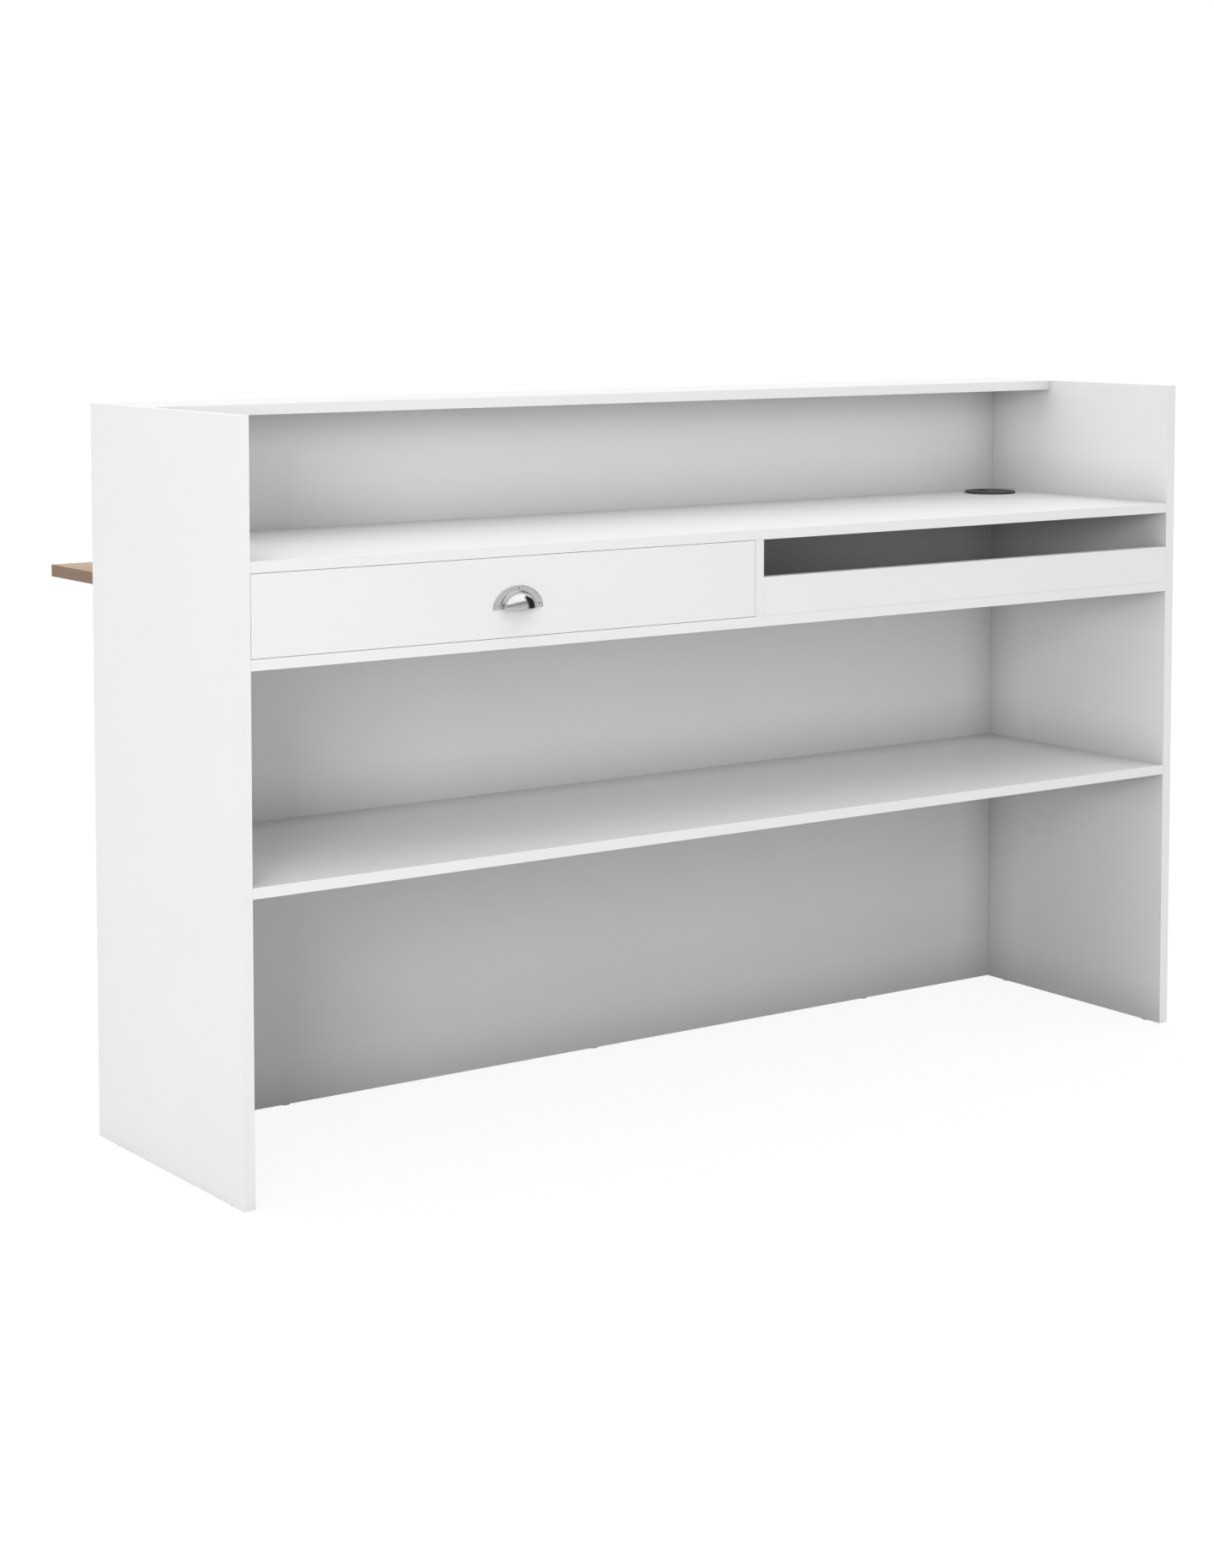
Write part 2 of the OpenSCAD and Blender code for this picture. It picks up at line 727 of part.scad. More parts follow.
module slide_cabinet_screws() {
    color(steel) for (s = [-1, 1]) slide_at(s) slide_screw_at(slide_sheet, -90)
        pan_screw(slide_screw_grip);
}

module slide_drawer_screws() {
    color(steel) for (s = [-1, 1]) slide_at(s) slide_screw_at(slide_t - slide_sheet, 90)
        pan_screw(drawer_screw_grip);
}

// Drawer
module bottom_groove() {
    bottom_slab(groove_d + groove_play, groove_play);
}

module bottom_slab(into, play) {
    w = drawer_w - 2 * drawer_side_t + 2 * into;
    d = drawer_d - drawer_side_t + 2 * into;
    translate([drawer_x - w / 2, drawer_y - into, bottom_z - play]) cube([w, d, bottom_t + 2 * play]);
}

module drawer_front() {
    w = drawer_bay_w - 2 * front_gap;
    h = bay_h - 2 * front_gap;
    color(white) difference() {
        translate([drawer_x - w / 2, front_y, front_z - h / 2]) cube([w, front_t, h]);
        for (j = drawer_cams) place(j) bolt_hole();
        for (j = drawer_end_dowels) place(j) dowel_hole();
        bottom_groove();
        brace_dowel_holes();
        pull_screws_at() cylinder(d = pull_screw_d, h = pull_screw_len);
    }
}

module drawer_side(s) {
    x = s < 0 ? drawer_x - drawer_w / 2 : drawer_x + drawer_w / 2 - drawer_side_t;
    j = drawer_cams[s < 0 ? 0 : 1];
    color(white) difference() {
        translate([x, drawer_y, drawer_z]) cube([drawer_side_t, drawer_d, drawer_side_h]);
        place(j) cam_cut(drawer_side_t);
        for (d = drawer_end_dowels) if ((d[0][0] - drawer_x) * s > 0) place(d) dowel_hole();
        bottom_groove();
        drawer_screw_holes(s);
        back_screws_at(s) sunk_hole(back_screw_d, back_screw_len, back_screw_head_d, 3);
    }
}

module drawer_left_side() drawer_side(-1);
module drawer_right_side() drawer_side(1);

module drawer_back() {
    w = drawer_w - 2 * drawer_side_t;
    color(white) difference() {
        translate([drawer_x - w / 2, drawer_y + drawer_d - drawer_side_t, drawer_z])
            cube([w, drawer_side_t, drawer_side_h]);
        bottom_groove();
        brace_dowel_holes();
        for (s = [-1, 1]) back_screws_at(s) cylinder(d = back_screw_d, h = back_screw_len);
    }
}

module drawer_bottom() {
    color(hardboard) bottom_slab(groove_d, 0);
}

module drawer_brace() {
    d = drawer_d - drawer_side_t;
    color(white) difference() {
        translate([drawer_x - brace_w / 2, drawer_y, drawer_z]) cube([brace_w, d, brace_h - groove_play]);
        brace_dowel_holes();
    }
}

module brace_dowels_at() {
    for (x = [-1, 1], y = brace_ys)
        translate([drawer_x + x * brace_w / 4, y, drawer_z + brace_h / 2 - groove_play]) rotate([-90, 0, 0])
            translate([0, 0, -dowel_in]) children();
}

module brace_dowel_holes() {
    brace_dowels_at() cylinder(d = brace_dowel_d + 2 * dowel_play, h = 2 * dowel_in);
}

module back_screws_at(s) {
    for (z = back_screw_zs)
        translate([drawer_x + s * drawer_w / 2, drawer_y + drawer_d - drawer_side_t / 2, z])
            rotate([0, -s * 90, 0]) children();
}

module drawer_back_screws() {
    color(steel) for (s = [-1, 1]) back_screws_at(s)
        sunk_screw(back_screw_d, back_screw_len, back_screw_head_d, 3);
}

module drawer_cam_locks() {
    color(steel) for (j = drawer_cams) place(j) cam_lock(j[2]);
}

module drawer_cam_bolts() {
    color(steel) for (j = drawer_cams) place(j) cam_bolt();
}

module drawer_dowels() {
    color(beech) {
        for (j = drawer_end_dowels) place(j) dowel();
        brace_dowels_at() translate([0, 0, dowel_end])
            cylinder(d = brace_dowel_d, h = 2 * (dowel_in - dowel_end));
    }
}

// Half-round cup pull: an oval flange around a cup that is open below
pull_screw_len = 14;
pull_screw_spots = [
    [-(pull_w + cup_w) / 4 - 0.5, 5],
    [(pull_w + cup_w) / 4 + 0.5, 5],
    [0, (pull_h + cup_h) / 2 + cup_wall / 2]
];

module pull_at() {
    translate([drawer_x, front_y, pull_z]) children();
}

module half_oval(w, h) {
    intersection() {
        scale([w / 2, h]) circle(1, $fn = 64);
        translate([-w, 0]) square([2 * w, 2 * h]);
    }
}

module half_cup(w, h, reach) {
    intersection() {
        scale([w / 2, reach, h]) sphere(1, $fn = 48);
        translate([-w, -2 * reach, 0]) cube([2 * w, 2 * reach, 2 * h]);
    }
}

module drawer_pull() {
    outer_w = cup_w + 2 * cup_wall;
    color(chrome) pull_at() difference() {
        union() {
            rotate([90, 0, 0]) linear_extrude(pull_t) half_oval(pull_w, pull_h);
            half_cup(outer_w, cup_h + cup_wall, pull_reach);
        }
        translate([0, eps, -eps]) half_cup(cup_w, cup_h, pull_reach - cup_wall);
        rotate([90, 0, 0]) translate([0, 0, -eps]) linear_extrude(pull_t + 2 * eps)
            translate([0, -eps]) half_oval(cup_w, cup_h);
        for (p = pull_screw_spots) translate([p[0], -pull_t - eps, p[1]]) rotate([-90, 0, 0])
            cylinder(d1 = pull_screw_head_d + 0.2, d2 = pull_screw_d + 0.2, h = pull_t + 2 * eps, $fn = 24);
    }
}

module pull_screws_at() {
    pull_at() for (p = pull_screw_spots) translate([p[0], -pull_t, p[1]]) rotate([-90, 0, 0]) children();
}

module drawer_pull_screws() {
    color(chrome) pull_screws_at() sunk_screw(pull_screw_d, pull_screw_len, pull_screw_head_d, pull_t);
}

left_side_panel();
right_side_panel();
customer_panel();
top_shelf();
worktop();
box_floor();
box_divider();
compartment_fascia();
middle_shelf();
wood_ledge();
ledge_brackets();
ledge_bracket_screws();
ledge_screws();
cam_locks();
cam_bolts();
cam_covers();
wood_dowels();
floor_glides();
grommet_ring();
grommet_cap();
left_slide_outer();
left_slide_middle();
left_slide_inner();
left_slide_outer_cage();
left_slide_outer_balls();
left_slide_inner_cage();
left_slide_inner_balls();
right_slide_outer();
right_slide_middle();
right_slide_inner();
right_slide_outer_cage();
right_slide_outer_balls();
right_slide_inner_cage();
right_slide_inner_balls();
slide_cabinet_screws();
slide_drawer_screws();
drawer_front();
drawer_left_side();
drawer_right_side();
drawer_back();
drawer_bottom();
drawer_brace();
drawer_cam_locks();
drawer_cam_bolts();
drawer_dowels();
drawer_back_screws();
drawer_pull();
drawer_pull_screws();
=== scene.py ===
"""White checkout counter with an oak ledge: finishes, cup pull, grommet, light and camera.

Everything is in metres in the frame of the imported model: +X to the cashier's right,
+Y towards the customer, +Z up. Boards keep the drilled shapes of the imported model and
get rounded edges. The cup pull, its screws and the grommet's rim are made here, and the
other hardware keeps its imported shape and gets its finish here.
"""
import math

import bmesh
import bpy
import numpy as np
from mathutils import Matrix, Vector


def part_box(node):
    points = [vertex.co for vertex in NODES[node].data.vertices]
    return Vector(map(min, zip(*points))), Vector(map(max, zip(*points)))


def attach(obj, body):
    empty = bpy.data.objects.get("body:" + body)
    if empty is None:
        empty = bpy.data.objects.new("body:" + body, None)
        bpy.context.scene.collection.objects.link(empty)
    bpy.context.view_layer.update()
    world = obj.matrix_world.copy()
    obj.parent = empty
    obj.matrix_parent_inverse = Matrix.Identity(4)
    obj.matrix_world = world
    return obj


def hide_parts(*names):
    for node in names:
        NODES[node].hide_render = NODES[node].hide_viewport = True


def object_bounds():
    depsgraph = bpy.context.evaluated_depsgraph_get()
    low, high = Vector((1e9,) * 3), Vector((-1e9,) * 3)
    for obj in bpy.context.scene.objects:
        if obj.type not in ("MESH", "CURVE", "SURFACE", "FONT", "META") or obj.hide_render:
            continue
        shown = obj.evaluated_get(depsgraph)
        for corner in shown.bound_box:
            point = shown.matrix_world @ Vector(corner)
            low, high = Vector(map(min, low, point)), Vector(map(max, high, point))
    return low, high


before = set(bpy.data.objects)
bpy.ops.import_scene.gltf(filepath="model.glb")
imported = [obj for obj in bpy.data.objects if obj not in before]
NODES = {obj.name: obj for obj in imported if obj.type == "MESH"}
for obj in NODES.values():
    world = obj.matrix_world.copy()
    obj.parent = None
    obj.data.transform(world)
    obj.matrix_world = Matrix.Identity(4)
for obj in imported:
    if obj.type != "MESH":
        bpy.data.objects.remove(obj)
CAD_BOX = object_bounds()
MM = 0.001


# ---------------------------------------------------------------- shader sums

class Wire:
    """A shader value that ordinary arithmetic works on; each sign adds the Math node for it."""

    def __init__(self, bench, socket):
        self.bench = bench
        self.socket = socket

    def _sum(self, operation, first, second):
        return self.bench.node("Math", {"operation": operation}, {0: first, 1: second})

    def __add__(self, other):
        return self._sum("ADD", self, other)

    def __radd__(self, other):
        return self._sum("ADD", other, self)

    def __sub__(self, other):
        return self._sum("SUBTRACT", self, other)

    def __rsub__(self, other):
        return self._sum("SUBTRACT", other, self)

    def __mul__(self, other):
        return self._sum("MULTIPLY", self, other)

    def __rmul__(self, other):
        return self._sum("MULTIPLY", other, self)

    def __truediv__(self, other):
        return self._sum("DIVIDE", self, other)

    def __gt__(self, other):
        return self._sum("GREATER_THAN", self, other)

    def __abs__(self):
        return self._sum("ABSOLUTE", self, 0.0)

    def least(self, other):
        """The smaller of two values."""
        return self._sum("MINIMUM", self, other)

    def power(self, exponent):
        """The value raised to an exponent."""
        return self._sum("POWER", self, exponent)


class Bench:
    """A node tree, and the one method that adds a node to it."""

    def __init__(self, tree, coordinates):
        self.tree = tree
        self.place = self.node("TexCoord", out=coordinates)
        parts = self.tree.nodes.new("ShaderNodeSeparateXYZ")
        self.feed(parts.inputs[0], self.place)
        self.x, self.y, self.z = (Wire(self, out) for out in parts.outputs)

    def feed(self, socket, value):
        """Links a wire to a socket, or sets a plain value on it."""
        if isinstance(value, Wire):
            self.tree.links.new(value.socket, socket)
        else:
            socket.default_value = value

    def node(self, kind, settings=None, sockets=None, out=0):
        """Adds a node: its settings or ramp stops first, then each socket's value or wire."""
        made = self.tree.nodes.new("ShaderNode" + kind)
        for name, value in (settings or {}).items():
            if name == "stops":
                ramp = made.color_ramp
                while len(ramp.elements) < len(value):
                    ramp.elements.new(0.5)
                for element, (at, colour) in zip(ramp.elements, value):
                    element.position = at
                    element.color = (*colour, 1.0)
            else:
                setattr(made, name, value)
        for socket, value in (sockets or {}).items():
            self.feed(made.inputs[socket], value)
        return Wire(self, made.outputs[out])

    def noise(self, scale, detail=2.0, stretch=(1.0, 1.0, 1.0), shift=(0.0, 0.0, 0.0)):
        """Cloudy noise over the piece, about 0 to 1, with scale in lumps per metre."""
        vector = self.node(
            "Mapping", {}, {"Vector": self.place, "Scale": stretch, "Location": shift})
        return self.node(
            "TexNoise", {}, {"Vector": vector, "Scale": scale, "Detail": detail})

    def blend(self, mask, first, second):
        """The first colour where the mask is 0 and the second where it is 1."""
        def full(colour):
            return colour if isinstance(colour, Wire) else (*colour, 1.0)
        return self.node(
            "Mix", {"data_type": "RGBA"}, {0: mask, 6: full(first), 7: full(second)}, out=2)

    def band(self, value, centre, half):
        """1 inside a band around centre, falling straight to 0 at half its width."""
        return self.node(
            "MapRange", {"clamp": True},
            {"Value": abs(value - centre), "From Min": half, "From Max": half * 0.4,
             "To Min": 0.0, "To Max": 1.0})

    def ramp(self, value, low, high, to_low=0.0, to_high=1.0):
        """A straight line between two values, held level beyond them."""
        return self.node(
            "MapRange", {"clamp": True},
            {"Value": value, "From Min": low, "From Max": high,
             "To Min": to_low, "To Max": to_high})


class Finish(Bench):
    """One finish of a piece, on a Principled shader."""

    def __init__(self, name, **constants):
        self.material = bpy.data.materials.new(name)
        self.material.use_nodes = True
        super().__init__(self.material.node_tree, "Object")
        self.shader = self.tree.nodes["Principled BSDF"]
        for socket, value in constants.items():
            self.shader.inputs[socket.replace("_", " ")].default_value = value

    def surface(self, colour=None, roughness=None, height=None, depth=0.0001, strength=1.0):
        """Joins colour, roughness and a height in metres-of-depth to the shader."""
        if colour is not None:
            self.feed(self.shader.inputs["Base Color"], colour)
        if roughness is not None:
            self.feed(self.shader.inputs["Roughness"], roughness)
        if height is not None:
            bump = self.node(
                "Bump", {}, {"Height": height, "Distance": depth, "Strength": strength})
            self.feed(self.shader.inputs["Normal"], bump)
        return self.material


# ---------------------------------------------------------------- finishes

MELAMINE = (0.85, 0.85, 0.847)
MELAMINE_LOW = (0.835, 0.835, 0.833)
SEAM = (0.58, 0.58, 0.575)
CORNER_GREY = (0.36, 0.36, 0.365)
CORNER_REACH, CORNER_SAMPLES = 80 * MM, 8
INSIDE_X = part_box("right_side_panel")[0][0] + 0.5 * MM
EDGE_BAND, HAIRLINE = 1.0 * MM, 0.11 * MM


def white_melamine(name, low, high, across, corner):
    """White melamine on a board between two corners: faint clouding, a fine pearl emboss,
    and the hairline where the 1 mm edge band meets the two wide faces. Corner is how
    strongly a shadow is painted into the white near another board or the floor. The
    counter's two ends have none."""
    f = Finish(name, IOR=1.46)
    cloud = f.noise(5.0, 3.0)
    speck = f.noise(1400.0, 1.0)
    grain = f.noise(420.0, 2.0)
    spots = (f.x, f.y, f.z)
    seam = None
    for axis in range(3):
        if axis == across:
            continue
        inward = (spots[axis] - low[axis]).least(high[axis] - spots[axis])
        line = f.band(inward, EDGE_BAND, HAIRLINE)
        seam = line if seam is None else seam + line
    seam = seam.least(1.0)
    tone = f.blend(f.ramp(cloud + speck * 0.35, 0.45, 0.9), MELAMINE, MELAMINE_LOW)
    colour = f.blend(seam * 0.55, tone, SEAM)
    if corner:
        open_share = f.node(
            "AmbientOcclusion", {"samples": CORNER_SAMPLES}, {"Distance": CORNER_REACH},
            out="AO")
        within = f.ramp(abs(f.x), INSIDE_X, INSIDE_X + 0.5 * MM, 1.0, 0.0)
        colour = f.blend((1.0 - open_share) * within * corner, colour, CORNER_GREY)
    rough = f.ramp(cloud, 0.3, 0.7, 0.40, 0.47) + grain * 0.05
    height = speck * 0.35 + grain * 0.65 - seam * 0.8
    return f.surface(colour, rough, height, 0.025 * MM, 0.35)


RING_GAP = 4.6 * MM
HEART_ASIDE, HEART_BELOW = 30 * MM, 55 * MM


def oak_board(name, low, high):
    """Oak: growth rings as distorted circles around a heart line that runs along X below
    the board, dark early wood, long fine pores, darker arrises and darker end grain."""
    f = Finish(name, IOR=1.48)
    heart_y = (low[1] + high[1]) / 2 + HEART_ASIDE
    heart_z = low[2] - HEART_BELOW
    sway = f.noise(1.1, 2.0, (1.0, 6.0, 6.0)) - 0.5
    curl = f.noise(3.2, 3.0, (1.0, 9.0, 9.0), (4.0, 1.0, 2.0)) - 0.5
    off_y = f.y - heart_y + sway * 0.050
    off_z = f.z - heart_z + sway * 0.024
    radius = (off_y * off_y + off_z * off_z).power(0.5) + curl * 0.006
    phase = f.node("Math", {"operation": "FRACT"}, {0: radius / RING_GAP})
    early = f.ramp(phase, 0.62, 1.0)
    fine = f.noise(6.0, 4.0, (1.0, 60.0, 60.0), (2.0, 5.0, 1.0))
    streak = f.noise(2.2, 3.0, (1.0, 26.0, 26.0), (7.0, 3.0, 9.0))
    pore_noise = f.noise(11.0, 2.0, (1.0, 95.0, 95.0), (1.0, 8.0, 5.0))
    pore = f.ramp(pore_noise, 0.60, 0.70) * (0.35 + early * 0.65)
    tone = f.node(
        "ValToRGB",
        {"stops": [(0.0, (0.365, 0.232, 0.142)), (0.38, (0.455, 0.310, 0.200)),
                   (0.68, (0.525, 0.377, 0.255)), (1.0, (0.600, 0.450, 0.318))]},
        {0: f.ramp(fine * 0.45 + streak * 0.55, 0.30, 0.72)})
    ringed = f.blend(early * 0.50, tone, (0.305, 0.190, 0.112))
    pored = f.blend(pore * 0.62, ringed, (0.175, 0.100, 0.055))
    edge = None
    spots = (f.x, f.y, f.z)
    for axis in (1, 2):
        inward = (spots[axis] - low[axis]).least(high[axis] - spots[axis])
        near = f.ramp(inward, 0.0, 1.6 * MM, 1.0, 0.0)
        edge = near if edge is None else edge * near
    arris = f.blend(edge * 0.55, pored, (0.22, 0.135, 0.080))
    from_end = (f.x - low[0]).least(high[0] - f.x)
    end_grain = f.ramp(from_end, 0.1 * MM, 0.8 * MM, 1.0, 0.0)
    end_pore = f.ramp(f.noise(900.0, 2.0), 0.45, 0.62)
    end_tone = f.blend(end_pore * 0.6 + early * 0.3, (0.255, 0.165, 0.105), (0.135, 0.080, 0.048))
    colour = f.blend(end_grain, arris, end_tone)
    rough = f.ramp(fine, 0.3, 0.75, 0.44, 0.56) + pore * 0.12
    height = fine * 0.3 - pore * 0.9 - early * 0.25
    return f.surface(colour, rough, height, 0.12 * MM, 0.6)


def pressed_hardboard():
    """White-faced hardboard: a painted face with the faint felt mark of the press."""
    f = Finish("white_faced_hardboard", IOR=1.46)
    felt = f.noise(900.0, 2.0)
    cloud = f.noise(9.0, 3.0)
    colour = f.blend(f.ramp(cloud, 0.35, 0.7), (0.74, 0.735, 0.72), (0.70, 0.69, 0.67))
    return f.surface(colour, f.ramp(felt, 0.3, 0.7, 0.50, 0.60), felt, 0.04 * MM, 0.4)


def powder_coat():
    """White powder coat with its orange-peel surface."""
    f = Finish("white_powder_coat", IOR=1.5)
    peel = f.noise(620.0, 1.0)
    cloud = f.noise(30.0, 2.0)
    colour = f.blend(f.ramp(cloud, 0.35, 0.7), (0.78, 0.78, 0.775), (0.755, 0.755, 0.75))
    return f.surface(colour, f.ramp(peel, 0.3, 0.7, 0.34, 0.44), peel, 0.06 * MM, 0.5)


def zinc_sheet():
    """Zinc-plated rolled steel: long rolling marks, cool clouds and dull patches."""
    f = Finish("zinc_plated_steel", Metallic=1.0)
    roll = f.noise(9.0, 3.0, (70.0, 1.0, 70.0))
    cloud = f.noise(24.0, 3.0)
    colour = f.blend(f.ramp(cloud, 0.3, 0.7), (0.60, 0.61, 0.63), (0.49, 0.50, 0.52))
    rough = f.ramp(roll * 0.6 + cloud * 0.4, 0.3, 0.7, 0.26, 0.42)
    return f.surface(colour, rough, roll, 0.02 * MM, 0.5)


def zinc_casting():
    """Die-cast zinc: grey, slightly matt, with a cast grain."""
    f = Finish("die_cast_zinc", Metallic=1.0)
    grain = f.noise(1500.0, 2.0)
    cloud = f.noise(160.0, 2.0)
    colour = f.blend(f.ramp(cloud, 0.3, 0.7), (0.52, 0.52, 0.52), (0.40, 0.40, 0.41))
    return f.surface(colour, f.ramp(grain, 0.3, 0.7, 0.36, 0.52), grain, 0.03 * MM, 0.6)


def ball_steel():
    """Polished bearing steel with a light film of grease."""
    f = Finish("bearing_steel", Metallic=1.0)
    film = f.noise(300.0, 2.0)
    colour = f.blend(f.ramp(film, 0.35, 0.7), (0.66, 0.66, 0.67), (0.52, 0.50, 0.45))
    return f.surface(colour, f.ramp(film, 0.3, 0.7, 0.08, 0.24))


def beech_dowel():
    """Beech with its short dark flecks."""
    f = Finish("beech", IOR=1.48)
    fleck = f.noise(260.0, 2.0, (1.0, 1.0, 0.25))
    cloud = f.noise(40.0, 3.0)
    tone = f.blend(f.ramp(cloud, 0.3, 0.7), (0.62, 0.44, 0.27), (0.52, 0.35, 0.20))
    colour = f.blend(f.ramp(fleck, 0.60, 0.68) * 0.5, tone, (0.30, 0.17, 0.09))
    return f.surface(colour, f.ramp(cloud, 0.3, 0.7, 0.55, 0.68), fleck, 0.05 * MM, 0.5)


def moulded_white():
    """White moulded plastic with a very fine spark-eroded texture."""
    f = Finish("white_moulded_plastic", IOR=1.5)
    grain = f.noise(1800.0, 1.0)
    cloud = f.noise(60.0, 2.0)
    colour = f.blend(f.ramp(cloud, 0.35, 0.7), (0.76, 0.76, 0.75), (0.73, 0.73, 0.715))
    return f.surface(colour, f.ramp(grain, 0.3, 0.7, 0.32, 0.42), grain, 0.02 * MM, 0.5)


def moulded_charcoal():
    """Charcoal moulded plastic, matt, with an even spark-eroded grain."""
    f = Finish("charcoal_moulded_plastic", IOR=1.5)
    grain = f.noise(1300.0, 2.0)
    cloud = f.noise(45.0, 3.0)
    colour = f.blend(f.ramp(cloud, 0.3, 0.7), (0.040, 0.040, 0.042), (0.052, 0.052, 0.054))
    return f.surface(colour, f.ramp(grain, 0.3, 0.7, 0.48, 0.62), grain, 0.05 * MM, 0.6)


def satin_chrome():
    """Chromed zinc buffed to a soft mirror: faint buffing lines and handling haze."""
    f = Finish("satin_chrome", Metallic=1.0)
    buff = f.noise(30.0, 3.0, (1.0, 12.0, 40.0))
    haze = f.noise(90.0, 3.0)
    colour = f.blend(f.ramp(haze, 0.3, 0.75), (0.56, 0.56, 0.565), (0.50, 0.50, 0.51))
    rough = f.ramp(buff * 0.5 + haze * 0.5, 0.3, 0.7, 0.13, 0.20)
    return f.surface(colour, rough, buff, 0.01 * MM, 0.3)


# ---------------------------------------------------------------- mesh making

SAME_SPOT, NO_LENGTH, ON_SIDE = 1e-6, 1e-7, 2e-6


def sheet_faces(rows, columns, start, wrap_rows, wrap_columns):
    """The four-sided faces between neighbouring points of a grid, as rows of indices."""
    r = np.arange(rows if wrap_rows else rows - 1)
    c = np.arange(columns if wrap_columns else columns - 1)
    r, c = (a.ravel() for a in np.meshgrid(r, c, indexing="ij"))
    r2, c2 = (r + 1) % rows, (c + 1) % columns
    return start + np.stack(
        [r * columns + c, r2 * columns + c, r2 * columns + c2, r * columns + c2], axis=1)


def placed(name, data):
    """A new object of the data, put into the scene."""
    made = bpy.data.objects.new(name, data)
    bpy.context.scene.collection.objects.link(made)
    return made


def piece_from_sheets(name, sheets, body, material, sharp=35.0, fill=False):
    """Makes one piece from grids of points. A grid is (points, wrap_rows, wrap_columns);
    doubles are merged, which closes seams and poles, flat ends are filled where asked, and
    faces are turned outwards."""
    points, faces, start = [], [], 0
    for grid, wrap_rows, wrap_columns in sheets:
        rows, columns = grid.shape[:2]
        points.append(grid.reshape(-1, 3))
        faces.append(sheet_faces(rows, columns, start, wrap_rows, wrap_columns))
        start += rows * columns
    mesh = bpy.data.meshes.new(name)
    mesh.from_pydata(np.concatenate(points).tolist(), [], np.concatenate(faces).tolist())
    work = bmesh.new()
    work.from_mesh(mesh)
    bmesh.ops.remove_doubles(work, verts=work.verts, dist=SAME_SPOT)
    bmesh.ops.dissolve_degenerate(work, edges=work.edges, dist=NO_LENGTH)
    if fill:
        bmesh.ops.holes_fill(work, edges=[e for e in work.edges if e.is_boundary])
    bmesh.ops.recalc_face_normals(work, faces=work.faces)
    work.to_mesh(mesh)
    work.free()
    mesh.shade_smooth()
    mesh.set_sharp_from_angle(angle=math.radians(sharp))
    mesh.materials.append(material)
    piece = placed(name, mesh)
    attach(piece, body)
    return piece


def board_piece(name, node, body, material, radius=0.35 * MM):
    """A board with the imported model's own drilling and its outer edges rounded: the copy is
    merged, and only edges that lie on two sides of the board's box carry a bevel."""
    mesh = NODES[node].data.copy()
    mesh.name = name
    if "custom_normal" in mesh.attributes:
        mesh.attributes.remove(mesh.attributes["custom_normal"])
    work = bmesh.new()
    work.from_mesh(mesh)
    bmesh.ops.remove_doubles(work, verts=work.verts, dist=SAME_SPOT)
    work.to_mesh(mesh)
    work.free()
    spots = np.empty(len(mesh.vertices) * 3, np.float32)
    mesh.vertices.foreach_get("co", spots)
    spots = spots.reshape(-1, 3)
    ends = np.empty(len(mesh.edges) * 2, np.int32)
    mesh.edges.foreach_get("vertices", ends)
    ends = ends.reshape(-1, 2)
    at_low = np.abs(spots - spots.min(0)) < ON_SIDE
    at_high = np.abs(spots - spots.max(0)) < ON_SIDE
    held = (at_low[ends[:, 0]] & at_low[ends[:, 1]]) | (at_high[ends[:, 0]] & at_high[ends[:, 1]])
    weight = (held.sum(1) >= 2).astype(np.float32)
    layer = mesh.attributes.new("bevel_weight_edge", "FLOAT", "EDGE")
    layer.data.foreach_set("value", weight)
    mesh.shade_smooth()
    mesh.set_sharp_from_angle(angle=math.radians(30))
    mesh.materials.clear()
    mesh.materials.append(material)
    piece = placed(name, mesh)
    edge = piece.modifiers.new("eased_edges", "BEVEL")
    edge.limit_method = "WEIGHT"
    edge.width = radius
    edge.segments = 3
    edge.harden_normals = True
    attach(piece, body)
    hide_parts(node)
    return piece


def turned(profile, centre, steps):
    """A turned shape: each profile point (radius, height) swept round the upright axis, with
    x = radius times cosine, y = radius times sine, and z = height, from the centre."""
    turn = np.linspace(0, 2 * np.pi, steps, endpoint=False)
    radius, height = profile[:, 0][:, None], profile[:, 1][:, None]
    return np.stack(
        [centre[0] + radius * np.cos(turn), centre[1] + radius * np.sin(turn),
         centre[2] + height + 0 * turn], axis=2)


def eased(profile, radius, steps=5):
    """Rounds each corner of a closed profile: a corner becomes an arc between the two points
    at distance radius along its sides, as a parabola through them with the corner as
    guide. The radius is held to under half of the shorter side."""
    p = np.asarray(profile, float)
    before = np.roll(p, 1, 0) - p
    after = np.roll(p, -1, 0) - p
    reach_b = np.linalg.norm(before, axis=1, keepdims=True)
    reach_a = np.linalg.norm(after, axis=1, keepdims=True)
    r = np.asarray(radius, float) * np.ones(len(p))
    r = np.minimum(r[:, None], 0.45 * np.minimum(reach_a, reach_b))
    first, last = p + before / reach_b * r, p + after / reach_a * r
    t = np.linspace(0, 1, steps)[None, :, None]
    arc = ((1 - t) ** 2 * first[:, None] + 2 * t * (1 - t) * p[:, None] + t ** 2 * last[:, None])
    return arc.reshape(-1, 2)


# ---------------------------------------------------------------- boards

